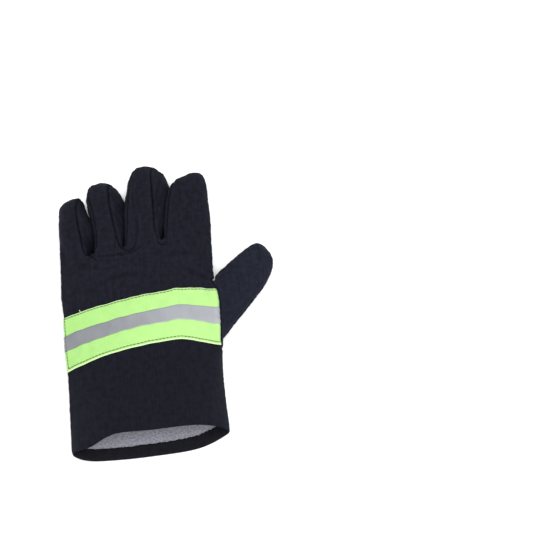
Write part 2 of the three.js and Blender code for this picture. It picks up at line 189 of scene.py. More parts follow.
# How far the mouth's edge hangs out at each column, on the palm and on the back.
palm_hem = (4.2, 6.1, 7.2, 8, 8.6, 8.9, 9, 9.1, 9, 8.2, 5.4, 1.8)
back_hem = (1.6, 5.8, 0.5, -1.8, -1.3, -0.5, 0, 0, 0, 0, 0, 0)
BAND_ARCH = 2.2  # how far the band's lower edge bows up in the middle
SIDE_SWELL = 1.0315  # how far the side seam stands out, as a share of half the width
CROTCH_FLOOR = 0.45  # height of the strips' middle at the crotches, as a share of the back's
# Inside the mouth: how far in from the hem, and how far in from the outer face. The third and
# fourth rows are the two edges where the facing ends and the felt begins.
inside_rows = (
    dict(deep=-0.9, inset=1.3),
    dict(deep=0.4, inset=2.5),
    dict(deep=9.6, inset=2.6),
    dict(deep=9, inset=1.8),
    dict(deep=14.5, inset=3.5),
    dict(deep=42, inset=3.4),
    dict(deep=76, inset=3.4),
    dict(deep=126, inset=3.4),
)
# The fingers: length, tip, which side is the hand's own edge, and four sections each, with the
# share of the length, the left and right outline, the place of the back's right-hand seam, the
# rise from left to right and the height.
finger_height = 22
SIDE_LEVEL = 0.42  # height of a finger's side seam, as a share of its height
SHOULDER = 0.82  # height of the back's edges
STRIP_SHOULDER = 0.91  # the same at a strip
TIP_LEVEL = 0.36
TIP_REACH = 1.05
fingers = (
    dict(length=67, tip=-0.76, outer="left", sections=(
        dict(along=0.24, left=-1.01, right=-0.515, seam=0.635, rise=2, high=1),
        dict(along=0.56, left=-1, right=-0.54, seam=0.58, rise=1, high=1),
        dict(along=0.81, left=-1.0, right=-0.65, seam=0.7, rise=0, high=0.98),
        dict(along=0.96, left=-0.96, right=-0.67, seam=0.9, rise=1.5, high=0.78),
    )),
    dict(length=78, tip=-0.34, outer="", sections=(
        dict(along=0.22, left=-0.52, right=-0.125, seam=0.72, rise=2, high=1.02),
        dict(along=0.52, left=-0.537, right=-0.085, seam=0.55, rise=1, high=1.04),
        dict(along=0.79, left=-0.622, right=-0.124, seam=0.62, rise=0, high=1),
        dict(along=0.95, left=-0.56, right=-0.225, seam=0.78, rise=-1, high=0.8),
    )),
    dict(length=88, tip=0.25, outer="", sections=(
        dict(along=0.22, left=-0.128, right=0.405, seam=0.755, rise=1, high=1.04),
        dict(along=0.52, left=-0.09, right=0.495, seam=0.63, rise=1, high=1.06),
        dict(along=0.78, left=-0.05, right=0.51, seam=0.585, rise=-1, high=1),
        dict(along=0.95, left=0.05, right=0.418, seam=0.62, rise=-1, high=0.8),
    )),
    dict(length=71, tip=0.83, outer="right", sections=(
        dict(along=0.22, left=0.395, right=1.03, seam=0.88, rise=2, high=1.04),
        dict(along=0.52, left=0.443, right=1.025, seam=0.88, rise=2, high=1.04),
        dict(along=0.79, left=0.497, right=1.025, seam=0.88, rise=3.6, high=1),
        dict(along=0.95, left=0.575, right=0.985, seam=0.88, rise=4, high=0.8),
    )),
)
# The thumb: the ends of each section's upper and lower edge, as shares of its reach and length.
thumb_reach = 56.6
thumb_length = 96
thumb_height = 19
thumb_across = (0.06, 0.28, 0.5, 0.72, 0.94)
thumb_sections = (
    dict(upper=(0.085, 0.695), lower=(0.06, 0.05), high=0.92),
    dict(upper=(0.31, 0.792), lower=(0.375, 0.255), high=1),
    dict(upper=(0.53, 0.898), lower=(0.665, 0.445), high=1),
    dict(upper=(0.69, 0.962), lower=(0.9, 0.61), high=0.98),
    dict(upper=(0.82, 1.0), lower=(1.03, 0.79), high=0.78),
)
# How far in from the outline a finger's seams lie, on the hand's own edge and at a strip, above and
# below, and how far its sides swell out past them. Below, the fingers meet at the strips.
above_in = dict(edge=0.13, strip=0.045)
below_in = dict(edge=0.13, strip=-0.03)
swell_out = dict(edge=0.05, strip=0.06)
THUMB_SWELL = 0.05
TIP_SWELL = 0.03


def body_point(row, column, level, inset=0.0):
    """A point of the body: level 2 is its back, 0 its palm and 1 the side seam."""
    half = row["half"] - inset
    lean = row["lean"]
    if level == 1 and column in (0, COLUMNS):
        side = -1 if column == 0 else 1
        x = lean + side * (row["half"] * SIDE_SWELL - inset)
        return x, row["y"] + side * row["rise"], SIDE_SEAM
    even = EDGE * (2 * column / COLUMNS - 1)
    share = even + row["run"] * (body_columns[column] - even)
    y = row["y"] + row["rise"] * share
    if level == 0:
        past = max(0, (abs(share) - PALM_FLAT) / (1 - PALM_FLAT))
        y -= row["mouth"] * palm_hem[column]
        return lean + share * half, y, SIDE_SEAM * past * past + inset
    if row["y"] == BAND_Y:
        y += BAND_ARCH * (1 - share * share)
    y -= row["drop"] * max(0, (share - DROP_FROM) / DROP_OVER) ** 1.5
    y -= row["mouth"] * back_hem[column]
    share = row["edge"] if column == COLUMNS else share
    capped = min(share, 0.98)
    skewed = abs(capped - row["ridge"] * (1 - capped * capped))
    high = SIDE_SEAM + (row["high"] - inset - SIDE_SEAM) * math.sqrt(1 - skewed ** ROUNDNESS)
    return lean + share * half, y, high if level == 2 else high * CROTCH_FLOOR


def row_inside(deep):
    """The body's row that far in from the hem, between the rows of the table."""
    y = HEM_Y + deep
    places = [row["y"] for row in body_rows]
    between = {
        name: float(np.interp(y, places, [row[name] for row in body_rows])) for name in body_names
    }
    return between | {"y": y}


def finger_point(finger, section, local, level):
    """A point of a finger: local is 0 at its left, 1 in its middle and 2 at its right."""
    start = CROTCH_Y + CROTCH_RISE * body_columns[fingers.index(finger) * 3 + 1]
    if section is finger["sections"][-1] and local == 1 and level == 1:
        tip = start + finger["length"] * TIP_REACH
        return finger["tip"] * HALF_KNUCKLES, tip, finger_height * TIP_LEVEL
    left = section["left"] * HALF_KNUCKLES
    width = section["right"] * HALF_KNUCKLES - left
    left_side, right_side = [
        "edge" if finger["outer"] == side else "strip" for side in ("left", "right")
    ]
    across = {
        2: (above_in[left_side], section["seam"] / 2, section["seam"]),
        1: (-swell_out[left_side], 0.5, 1 + swell_out[right_side]),
        0: (below_in[left_side], 0.5, 1 - below_in[right_side]),
    }[level][local]
    raised = {
        2: (SHOULDER, 1, SHOULDER if right_side == "edge" else STRIP_SHOULDER)[local],
        1: SIDE_LEVEL,
        0: 0,
    }[level]
    y = start + section["along"] * finger["length"] + section["rise"] * (2 * across - 1)
    return left + across * width, y, raised * finger_height * section["high"]


def thumb_point(step, row, level):
    """A point of the thumb: step counts out from the hand, and row up from its lower edge."""
    section = thumb_sections[step - 1]
    local = row - THUMB_ROWS[0]
    share = thumb_across[local]
    raised = (0, SIDE_LEVEL, SHOULDER if local in (0, 4) else 1)[level]
    beyond = 0
    if level == 1:
        share = {0: -THUMB_SWELL, 4: 1 + THUMB_SWELL}.get(local, share)
        beyond = TIP_SWELL if 0 < local < 4 else 0
    out = section["lower"][0] + share * (section["upper"][0] - section["lower"][0]) + beyond
    up = section["lower"][1] + share * (section["upper"][1] - section["lower"][1]) + beyond
    x = HALF_KNUCKLES * EDGE + thumb_reach * out
    return x, BAND_Y + BAND_RISE + thumb_length * up, raised * thumb_height * section["high"]


def glove_point(column, row, level):
    """The real place of a point of the boxed-out glove."""
    if column > COLUMNS:
        return thumb_point(column - COLUMNS, row, level)
    if row > KNUCKLES:
        finger = fingers[column // 3]
        return finger_point(finger, finger["sections"][row - KNUCKLES - 1], column % 3, level)
    if row >= 0:
        return body_point(body_rows[row], column, level)
    inside = inside_rows[-row - 1]
    return body_point(row_inside(inside["deep"]), column, level, inside["inset"])


# Each point keeps its count of columns, rows and levels, by which later steps find it again.
counts = shell.data.attributes.new("counts", "FLOAT_VECTOR", "POINT")
for point, vertex in enumerate(shell.data.vertices):
    column, row, level = (round(value) for value in vertex.co)
    counts.data[point].vector = (column, row, level)
    vertex.co = [value * MM for value in glove_point(column, row, level)]


def mesh_points(mesh):
    """The mesh's points as an array."""
    points = np.empty(len(mesh.vertices) * 3)
    mesh.vertices.foreach_get("co", points)
    return points.reshape(-1, 3)


def set_points(mesh, points):
    """Moves the mesh's points to those of an array."""
    mesh.vertices.foreach_set("co", points.ravel())
    mesh.update()


def mesh_normals(mesh):
    """The directions in which the mesh's points face, as an array."""
    normals = np.empty(len(mesh.vertices) * 3)
    mesh.vertex_normals.foreach_get("vector", normals)
    return normals.reshape(-1, 3)


def counts_of(mesh):
    """Each point's count of columns, rows and levels, as an array."""
    values = np.empty(len(mesh.vertices) * 3)
    mesh.attributes["counts"].data.foreach_get("vector", values)
    return values.reshape(-1, 3)


def seam_edges(mesh):
    """The indices of the edges where two outer panels meet, and of those at the strips alone."""
    first, all_seams, strip_seams = {}, [], []
    for face in mesh.polygons:
        for key in face.edge_keys:
            other = first.setdefault(key, face.material_index)
            if other != face.material_index and max(other, face.material_index) in outer_panels:
                all_seams.append(key)
                if other in strips or face.material_index in strips:
                    strip_seams.append(key)
    return all_seams, strip_seams


def use_modifier(piece, kind, **settings):
    """Adds a modifier to the piece and applies it at once."""
    bpy.ops.object.select_all(action="DESELECT")
    bpy.context.view_layer.objects.active = piece
    piece.select_set(True)
    modifier = piece.modifiers.new(kind.lower(), kind)
    for key, value in settings.items():
        setattr(modifier, key, value)
    bpy.ops.object.modifier_apply(modifier=modifier.name)


# The strips are sewn in tightly, so the seams beside them are kept crisp while the cage is rounded
# into smooth cloth.
CREASE = 0.85
crisp = set(seam_edges(shell.data)[1])
crease = shell.data.attributes.new("crease_edge", "FLOAT", "EDGE")
for edge in shell.data.edges:
    crease.data[edge.index].value = CREASE if edge.key in crisp else 0
use_modifier(shell, "SUBSURF", levels=2, render_levels=2, use_limit_surface=False)

# The hand, the fingers and the thumb are filled with a little air in a cloth simulation, which
# leaves the soft unevenness of worn canvas. The cuff, lined with felt, and the strips are held.
SWELL = 0.0022  # the furthest that the cloth may move
HELD_ROW = 2.5  # the cloth is held up to here, and is quite free from FREE_ROW on
FREE_ROW = 5.5
MOMENTS = 20
bpy.ops.object.select_all(action="DESELECT")
shell.select_set(True)
bpy.context.view_layer.objects.active = shell
bpy.ops.object.duplicate()
filled = bpy.context.object
start = mesh_points(filled.data).copy()
counts = counts_of(filled.data)
hold = np.clip((FREE_ROW - counts[:, 1]) / (FREE_ROW - HELD_ROW), 0, 1)
hold = np.where(counts[:, 0] > COLUMNS + 0.2, 0, hold)
for face in filled.data.polygons:
    if panels[face.material_index].startswith("strip"):
        hold[list(face.vertices)] = 1
held = filled.vertex_groups.new(name="held")
for point, weight in enumerate(hold):
    held.add([point], float(weight), "REPLACE")
cloth = filled.modifiers.new("cloth", "CLOTH")
cloth.settings.quality = 6
cloth.settings.mass = 0.25
cloth.settings.tension_stiffness = 30
cloth.settings.compression_stiffness = 30
cloth.settings.bending_stiffness = 1.2
cloth.settings.vertex_group_mass = "held"
cloth.settings.use_pressure = True
cloth.settings.uniform_pressure_force = 3.5
cloth.settings.effector_weights.gravity = 0
cloth.collision_settings.use_collision = False
cloth.collision_settings.use_self_collision = False
for moment in range(1, MOMENTS + 1):
    bpy.context.scene.frame_set(moment)
bpy.ops.object.modifier_apply(modifier="cloth")
move = mesh_points(filled.data) - start
length = np.linalg.norm(move, axis=1)
move *= (np.minimum(length, SWELL) / np.maximum(length, 1e-9))[:, None]
set_points(shell.data, start + move)
bpy.context.scene.frame_set(1)
bpy.ops.object.delete()

# The panels lie flat before they are sewn, and each keeps its flat shape in metres as its map, so
# that the weave runs along every panel.
bpy.ops.object.select_all(action="DESELECT")
bpy.context.view_layer.objects.active = shell
shell.select_set(True)
counts = counts_of(shell.data)
side = (np.abs(counts[:, 2] - 1) < 0.01) & (counts[:, 0] % COLUMNS < 0.01) & (counts[:, 1] < 0)
border = {}
for face in shell.data.polygons:
    for key in face.edge_keys:
        border.setdefault(key, set()).add(face.material_index)
for edge in shell.data.edges:
    edge.use_seam = len(border.get(edge.key, ())) > 1 or all(side[point] for point in edge.vertices)
bpy.ops.object.mode_set(mode="EDIT")
bpy.ops.mesh.select_all(action="SELECT")
bpy.ops.uv.unwrap(method="ANGLE_BASED", margin=0.001)
bpy.ops.object.mode_set(mode="OBJECT")
shell.data.uv_layers[0].name = "flat"
flat = np.empty(len(shell.data.loops) * 2)
shell.data.uv_layers["flat"].data.foreach_get("uv", flat)
flat = flat.reshape(-1, 2)
points = mesh_points(shell.data)
islands = {}
for face in shell.data.polygons:
    islands.setdefault((face.material_index, face.center.z > SIDE_SEAM * MM * 0.9), []).append(face)
for panel in outer_panels:  # one island each, above and below the side seam alike
    islands[panel, True] = islands.get((panel, True), []) + islands.pop((panel, False), [])
for faces in islands.values():
    loops = [loop for face in faces for loop in face.loop_indices]
    places = points[[shell.data.loops[loop].vertex_index for loop in loops], :2]
    mapped = flat[loops]
    middle, target = mapped.mean(axis=0), places.mean(axis=0)
    left, stretch, right = np.linalg.svd((mapped - middle).T @ (places - target))
    scale = stretch.sum() / ((mapped - middle) ** 2).sum()
    flat[loops] = (mapped - middle) @ (left @ right) * scale + target
shell.data.uv_layers["flat"].data.foreach_set("uv", flat.ravel())
use_modifier(shell, "SUBSURF", levels=2, render_levels=2, use_limit_surface=False)

# The seams are sewn from the inside, which draws them in as narrow valleys with a soft roll on both
# sides, puckered by the thread. Near the hem, where the cloth lies double, they are shallower.
SEAM_DEPTH = 1.6
SEAM_WIDTH = 0.95
ROLL = 0.45
ROLL_AWAY = 3.2  # how far the roll lies from the seam
ROLL_WIDTH = 1.7
PUCKER = 0.55
PUCKER_REACH = 5
SHALLOW = 0.25  # the share of it all that is left at the hem
UNEVEN_CUFF = 0.25  # the broad unevenness of the cuff, and what the unlined hand adds
UNEVEN_HAND = 0.9
points = mesh_points(shell.data) / MM
counts = counts_of(shell.data)
normals = mesh_normals(shell.data)
seams = seam_edges(shell.data)[0]
tree = kdtree.KDTree(2 * len(seams))
for place, (one, other) in enumerate(seams):
    tree.insert(points[one], 2 * place)
    tree.insert((points[one] + points[other]) / 2, 2 * place + 1)
tree.balance()
away = np.array([tree.find(point)[2] for point in points])


def cloudy(points, stretch, shift=(0, 0, 0)):
    """Smooth noise of about -1 to 1 at each point, as an array."""
    stretch, shift = Vector(stretch), Vector(shift)
    return np.array([noise.noise(Vector(point) * stretch + shift) for point in points])


puckers = cloudy(points, (0.32, 0.32, 0.32))
outside = counts[:, 1] > -0.5
push = -SEAM_DEPTH * np.exp(-((away / SEAM_WIDTH) ** 2))
push += ROLL * np.exp(-(((away - ROLL_AWAY) / ROLL_WIDTH) ** 2))
push += PUCKER * puckers * np.exp(-((away / PUCKER_REACH) ** 2))
push *= outside * np.clip(SHALLOW + (counts[:, 1] - 0.9) / 1.2, SHALLOW, 1)
unevenness = cloudy(points, (0.11, 0.07, 0.1), (7, 3, 1))
broad_wave = cloudy(points, (0.03, 0.022, 0.02))
hand = np.clip((counts[:, 1] - 2) / 2, 0, 1)
push += outside * (UNEVEN_HAND * hand + UNEVEN_CUFF) * unevenness * np.clip(away / 6, 0, 1)

# Folds seen on the back: where each runs, its depth, its width and the roll beside it. The strips'
# ends pull the cloth into a small loop under each crotch, with short puckers below.
folds = (
    ([(-14.6, 102), (-13.6, 97), (-10.4, 92.6), (-6, 91.2), (-2, 92.6), (0.8, 96.6), (1.4, 103)],
     1.9, 0.9, 1.0),
    ([(-8, 87.6), (-3.6, 88.2), (1.6, 90.4), (5, 95)], 1.1, 0.8, 0.7),
    ([(19.4, 101), (20.2, 96), (22.4, 93.2), (24.8, 93), (27, 95.2), (28.2, 101)], 1.6, 0.8, 0.8),
    ([(-46, 97), (-42, 93.4), (-38, 89.6), (-34, 85.6)], 1.2, 0.8, 0.9),
    ([(-42.4, 85.4), (-38.8, 89), (-34.6, 92.4)], 1.0, 0.8, 0.8),
    ([(-36, 90.4), (-29, 88.6), (-20, 87.4), (-12, 88), (-4, 90.2), (4, 93.4)], 1.0, 1.1, 0.8),
    ([(-15.4, 112), (-16, 104), (-17.4, 97)], 0.9, 1.1, 0.6),
    ([(1.4, 101), (2.8, 112), (3, 126)], 0.9, 1.3, 0.5),
    ([(-52, 85), (-42, 79), (-28, 76)], 0.6, 2.0, 0.5),
    ([(16, 86), (30, 82), (48, 84)], 0.5, 2.2, 0.5),
    ([(-30, 63), (-12, 66), (10, 62)], 0.45, 2.6, 0.45),
    ([(38, 70), (50, 62), (60, 58)], 0.6, 2.0, 0.5),
)
DEEP_FOLD = 1.2  # a fold of this depth gets as much painted shade as a seam
FOLD_ROLL_AWAY = 2.4  # how many widths the roll lies from its fold
# valley holds each fold's painted shade, and crown the wear with a painted highlight on its roll.
valley = np.zeros(len(points))
crown = np.zeros(len(points))
above = (counts[:, 2] > 1.01) & (counts[:, 1] > 2)
for path, depth, width, roll in folds:
    corners = np.array(path)
    steps = np.linspace(0, len(corners) - 1, 12 * len(corners))
    order = range(len(corners))
    trail = np.stack([np.interp(steps, order, corners[:, axis]) for axis in (0, 1)], axis=1)
    fade = np.sin(np.pi * np.clip(steps / steps[-1], 0.06, 0.94)) ** 0.6
    gap = np.linalg.norm(points[:, None, :2][above] - trail[None], axis=2)
    nearest = gap.argmin(axis=1)
    reach = gap[np.arange(len(gap)), nearest]
    dip = np.exp(-((reach / width) ** 1.6)) * fade[nearest]
    rise = np.exp(-(((reach - FOLD_ROLL_AWAY * width) / width) ** 2)) * fade[nearest]
    push[above] += roll * rise - depth * dip
    valley[above] = np.maximum(valley[above], dip * min(1, depth / DEEP_FOLD))
    crown[above] = np.maximum(crown[above], rise * min(1, depth / DEEP_FOLD))
points += push[:, None] * normals

# The end of each strip stands up as a small nib at the tip of its finger, where the seams meet.
NIB = 1.1
NIB_REACH = 2.2
for finger in range(3):
    corner = np.array([3 * finger + 2, KNUCKLES + FINGER_STEPS, 2])
    nib = points[np.linalg.norm(counts - corner, axis=1).argmin()].copy()
    near_nib = np.exp(-(np.linalg.norm(points - nib, axis=1) / NIB_REACH) ** 2)
    points += near_nib[:, None] * np.array([0, NIB, 0.2 * NIB])

# A soft ridge runs up the back under the band, where the cloth breaks towards the thumb.
RIDGE_FOOT = Vector((35, -30))
RIDGE_TOP = Vector((30, 62))
RIDGE_HEIGHT = 1.8
RIDGE_REACH = 15
up_ridge = (points[:, 1] - RIDGE_FOOT.y) / (RIDGE_TOP.y - RIDGE_FOOT.y)
off_ridge = np.abs(points[:, 0] - RIDGE_FOOT.x - up_ridge * (RIDGE_TOP.x - RIDGE_FOOT.x))
crest = np.clip(1 - off_ridge / RIDGE_REACH, 0, 1) ** 1.3
crest *= np.sin(np.pi * np.clip(up_ridge, 0, 1)) ** 0.7
points[:, 2] += RIDGE_HEIGHT * crest * (counts[:, 2] > 1.5) * outside

# The cuff waves a little as a whole, lining and all. The facing's inner edge is frayed, the more so
# towards the thumb, and the palm lies on the floor without sinking into it.
CUFF_WAVE = 1.6
LEAST_HEIGHT = 0.15
FRAYED_ROWS = 0.6  # how much of the last row before the facing's edge is frayed
cuff = np.clip((3.5 - counts[:, 1]) / 2, 0, 1) * np.clip((points[:, 2] - 4) / 10, 0, 1)
points[:, 2] += CUFF_WAVE * broad_wave * cuff
ragged = cloudy(points, (0.22, 0.22, 0.22)) + 0.9 * cloudy(points, (0.9, 0.9, 0.9))
frayed = np.clip(0.5 + 1.2 * points[:, 0] / 60, 0.3, 1.7)
at_edge = np.clip((FACING_END + FRAYED_ROWS - counts[:, 1]) / FRAYED_ROWS, 0, 1)
points[:, 1] += frayed * ragged * at_edge * (counts[:, 1] > FACING_END - 0.01)
under = (counts[:, 2] < 0.99) & outside
floor_gap = LEAST_HEIGHT + 0.5 * np.abs(unevenness)
points[:, 2] = np.where(under, np.maximum(points[:, 2], floor_gap), points[:, 2])
set_points(shell.data, points * MM)
SHADED = 0.9  # painted shade darkens the cloth in a seam, and a little wear with a painted highlight lightens it where it rolls beside it
WEAR_AND_HIGHLIGHT_AWAY = 2.8
WEAR_AND_HIGHLIGHT_WIDTH = 1.2
seam_shade = np.exp(-((away / SHADED) ** 2))
seam_roll_wear_and_highlight = 0.5 * np.exp(-(((away - WEAR_AND_HIGHLIGHT_AWAY) / WEAR_AND_HIGHLIGHT_WIDTH) ** 2))
# The painted shade of seams and folds, and the wear with a painted highlight on their rolls, are
# kept as attributes for the canvas.
for name, values in (
    ("painted_fold_shade", np.maximum(seam_shade, valley * 0.75) * outside),
    ("roll_wear_and_highlight", np.maximum(seam_roll_wear_and_highlight, crown) * outside),
):
    shell.data.attributes.new(name, "FLOAT", "POINT").data.foreach_set("value", values)
bpy.ops.object.shade_smooth()
bpy.ops.object.mode_set(mode="EDIT")
bpy.ops.mesh.select_mode(type="FACE")
bpy.ops.mesh.select_all(action="DESELECT")
bpy.ops.object.mode_set(mode="OBJECT")

# The panels are cut apart along their seams: each becomes a piece of its own, and then gets its
# cloth's real thickness, turned inwards.
piece_names = dict(
    back="back_cloth", palm="palm_cloth", strip_little_ring="little_ring_strip",
    strip_ring_middle="ring_middle_strip", strip_middle_index="middle_index_strip",
    thumb_back="thumb_back_cloth", thumb_front="thumb_front_cloth", facing="cuff_facing_cloth",
    felt="felt_lining",
)


def cut_out(name, keep):
    """Copies the shell and keeps only the faces whose panels and places pass the test."""
    bpy.ops.object.select_all(action="DESELECT")
    shell.select_set(True)
    bpy.context.view_layer.objects.active = shell
    bpy.ops.object.duplicate()
    piece = bpy.context.object
    piece.name = name
    mesh = piece.data
    corners = np.empty(len(mesh.loops), dtype=int)
    mesh.loops.foreach_get("vertex_index", corners)
    middles = counts_of(mesh)[corners.reshape(-1, 4)].mean(axis=1)
    owners = np.empty(len(mesh.polygons), dtype=int)
    mesh.polygons.foreach_get("material_index", owners)
    mesh.polygons.foreach_set("select", ~keep(owners, middles))
    bpy.ops.object.mode_set(mode="EDIT")
    bpy.ops.mesh.delete(type="FACE")
    bpy.ops.object.mode_set(mode="OBJECT")
    mesh.polygons.foreach_set("material_index", np.zeros(len(mesh.polygons), dtype=int))
    return piece


pieces = {}
for number, panel in enumerate(panels):
    pieces[panel] = cut_out(piece_names[panel], lambda owners, middles: owners == number)
thickness = dict(facing=0.8, felt=0.75)
for panel, piece in pieces.items():
    use_modifier(piece, "SOLIDIFY", thickness=thickness.get(panel, CLOTH) * MM, offset=-1)


class Value:
    """A number in a material, which adds Math nodes when it is used in an expression."""

    def __init__(self, finish, socket):
        self.finish = finish
        self.socket = socket

    def math(self, operation, *others, first=None):
        inputs = [self if first is None else first, *others]
        node = self.finish.node("Math", {"operation": operation}, dict(enumerate(inputs)))
        return Value(self.finish, node.outputs[0])

    def __add__(self, other):
        return self.math("ADD", other)

    def __sub__(self, other):
        return self.math("SUBTRACT", other)

    def __rsub__(self, other):
        return self.math("SUBTRACT", self, first=other)

    def __mul__(self, other):
        return self.math("MULTIPLY", other)

    def between(self, low, high):
        """0 below low, 1 above high, and smooth between them."""
        settings = {"interpolation_type": "SMOOTHSTEP"}
        node = self.finish.node("MapRange", settings, {0: self, 1: low, 2: high})
        return Value(self.finish, node.outputs[0])

    __radd__ = __add__
    __rmul__ = __mul__


def shade(red, green, blue):
    """A colour from its screen values of 0 to 255."""
    screen = [value / 255 for value in (red, green, blue)]
    return [v / 12.92 if v <= 0.04045 else ((v + 0.055) / 1.055) ** 2.4 for v in screen] + [1]


def brighter(colour, times):
    """A colour that many times as bright, or darker where times is below 1."""
    return [times * value for value in colour[:3]] + [1]


class Finish:
    """A material being made: its nodes, and its main shader with the constants it is given."""

    def __init__(self, name, constants):
        self.material = bpy.data.materials.new(name)
        self.material.use_nodes = True
        self.tree = self.material.node_tree
        self.shader = self.tree.nodes["Principled BSDF"]
        for key, value in constants.items():
            self.shader.inputs[key].default_value = value

    def node(self, kind, settings=(), inputs=()):
        """Adds a node of a type, with its settings and then the values or links of its sockets."""
        node = self.tree.nodes.new("ShaderNode" + kind)
        for key, value in dict(settings).items():
            setattr(node, key, value)
        for key, value in dict(inputs).items():
            self.feed(node.inputs[key], value)
        return node

    def attribute(self, name):
        """A number that the mesh's points carry."""
        node = self.node("Attribute", {"attribute_name": name})
        return Value(self, node.outputs["Fac"])

    def feed(self, socket, value):
        if isinstance(value, Value):
            value = value.socket
        if isinstance(value, bpy.types.NodeSocket):
            self.tree.links.new(value, socket)
        else:
            socket.default_value = value

    def place(self, stretch=(1, 1, 1), source="UV"):
        """The flat map of the panel, or the object's own place, in metres, stretched."""
        if source == "UV":
            start = self.node("UVMap", {"uv_map": "flat"}).outputs["UV"]
        else:
            start = self.node("TexCoord").outputs["Object"]
        inputs = {0: start, 1: stretch}
        return self.node("VectorMath", {"operation": "MULTIPLY"}, inputs).outputs[0]

    def speckle(self, place, size, detail=2, rough=0.5, twist=0.0):
        """A cloudy noise from 0 to 1, whose patches are about that size in metres."""
        inputs = {"Vector": place, "Scale": 1 / size, "Detail": detail, "Roughness": rough}
        node = self.node("TexNoise", {}, inputs | {"Distortion": twist})
        return Value(self, node.outputs[0])

    def blend(self, share, low, high):
        """A colour between two, by a share."""
        node = self.node("Mix", {"data_type": "RGBA"}, {0: share, 6: low, 7: high})
        return node.outputs[2]

    def parts(self, place):
        """The first two numbers of a vector."""
        split = self.node("SeparateXYZ", {}, {0: place})
        return Value(self, split.outputs[0]), Value(self, split.outputs[1])

    def finish(self, colour, rough, height, depth):
        """Feeds the shader its colour, its roughness and its bumps, of a depth in metres."""
        bump = self.node("Bump", {}, {"Strength": 1, "Distance": depth, "Height": height})
        self.feed(self.shader.inputs["Base Color"], colour)
        self.feed(self.shader.inputs["Roughness"], rough)
        self.feed(self.shader.inputs["Normal"], bump.outputs[0])
        return self.material


def plain_weave(finish, pitch):
    """Threads over and under each other, as a height from 0 to 1."""
    across, along = finish.parts(finish.place((1 / pitch, 1 / pitch, 1)))
    square = (across.math("FLOOR") + along.math("FLOOR")).math("MODULO", 2).math("ABSOLUTE")
    warp = (across * math.pi).math("SINE").math("ABSOLUTE")
    weft = (along * math.pi).math("SINE").math("ABSOLUTE")
    return warp * (square * 0.45 + 0.55) + weft * ((1 - square) * 0.45)


def canvas(name, dark, light):
    """Heavy dyed cotton canvas: a close plain weave, slubs along both threads and fine lint, with
    painted shade in its seams, folds and cuff, and wear with a painted highlight on the rolls.
    """
    soft = {"Specular IOR Level": 0.06, "Sheen Weight": 0.03, "Sheen Roughness": 0.4,
            "Sheen Tint": shade(170, 178, 215)}
    finish = Finish(name, soft)
    weave = plain_weave(finish, 0.00075)
    warp_slubs = finish.speckle(finish.place((1, 0.06, 1)), 0.0013, 3)
    weft_slubs = finish.speckle(finish.place((0.06, 1, 1)), 0.0013, 3)
    patches = finish.speckle(finish.place(), 0.0045, 5, 0.65)
    lint = finish.speckle(finish.place((1, 0.35, 1)), 0.0007, 1).between(0.7, 0.8)
    painted_fold_shade, roll_wear_and_highlight = finish.attribute("painted_fold_shade"), finish.attribute("roll_wear_and_highlight")
    worn = patches * 0.55 + warp_slubs * 0.37 + weft_slubs * 0.08
    # Painted shade darkens the cuff, from the hand down to the mouth.
    cuff_shade = 1 - finish.parts(finish.place((1, 1, 1), "Object"))[1].between(-0.03, 0.05)
    colour = finish.blend(worn.between(0.36, 0.64), dark, light)
    colour = finish.blend(cuff_shade * 0.36, colour, brighter(dark, 0.6))
    # The thread crowns and lint are lighter, and the rolls beside seams and folds get wear with a
    # painted highlight.
    rubbed_and_highlit = weave * 0.2 + lint * 0.35 + roll_wear_and_highlight * 0.18
    colour = finish.blend(rubbed_and_highlit, colour, brighter(light, 2.4))
    # Painted shade darkens the cloth in the seams and folds.
    colour = finish.blend(painted_fold_shade * 0.75, colour, brighter(dark, 0.2))
    height = weave * 0.7 + warp_slubs * 0.6 + weft_slubs * 0.25 + patches * 0.6
    return finish.finish(colour, 0.96 - patches * 0.12, height, 0.00022)


canvas_navy = canvas("navy_canvas", shade(8, 9, 13), shade(21, 22, 31))
canvas_thumb = canvas("navy_canvas_thumb", shade(12, 14, 21), shade(26, 28, 38))
canvas_facing = canvas("facing_canvas", shade(12, 12, 16), shade(27, 27, 33))

# The lining is a thick needled felt of mixed dark and pale grey fibres. It lies loose inside the
# cuff and is caught at its edge under the turned-in hem.
felt = Finish("grey_felt", {"Specular IOR Level": 0.1, "Sheen Weight": 0.1, "Sheen Roughness": 0.6})
clumps = felt.speckle(felt.place(), 0.0016, 4, 0.7)
long_fibres = felt.speckle(felt.place((1, 0.35, 1)), 0.0007, 2, 0.7, 2.5)
cross_fibres = felt.speckle(felt.place((0.35, 1, 1)), 0.0007, 2, 0.7, 2.5)
fibres = long_fibres.math("MAXIMUM", cross_fibres)
mixed = (clumps * 0.55 + fibres * 0.45).between(0.4, 0.62)
felt_colour = felt.blend(mixed, shade(104, 104, 113), shade(158, 158, 169))
felt_material = felt.finish(felt_colour, 0.95 - clumps * 0.1, fibres * 0.7 + clumps, 0.0006)

nodes_of = dict(
    back="back_panel", palm="palm_panel", strip_little_ring="fourchette_little_ring",
    strip_ring_middle="fourchette_ring_middle", strip_middle_index="fourchette_middle_index",
    thumb_back="thumb_back", thumb_front="thumb_front", facing="cuff_facing", felt="lining",
)
finishes = dict(
    facing=canvas_facing, felt=felt_material, thumb_back=canvas_thumb, thumb_front=canvas_thumb,
)
for panel, piece in pieces.items():
    piece.data.materials.clear()
    piece.data.materials.append(finishes.get(panel, canvas_navy))
    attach(piece, "root")
    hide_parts(nodes_of[panel])

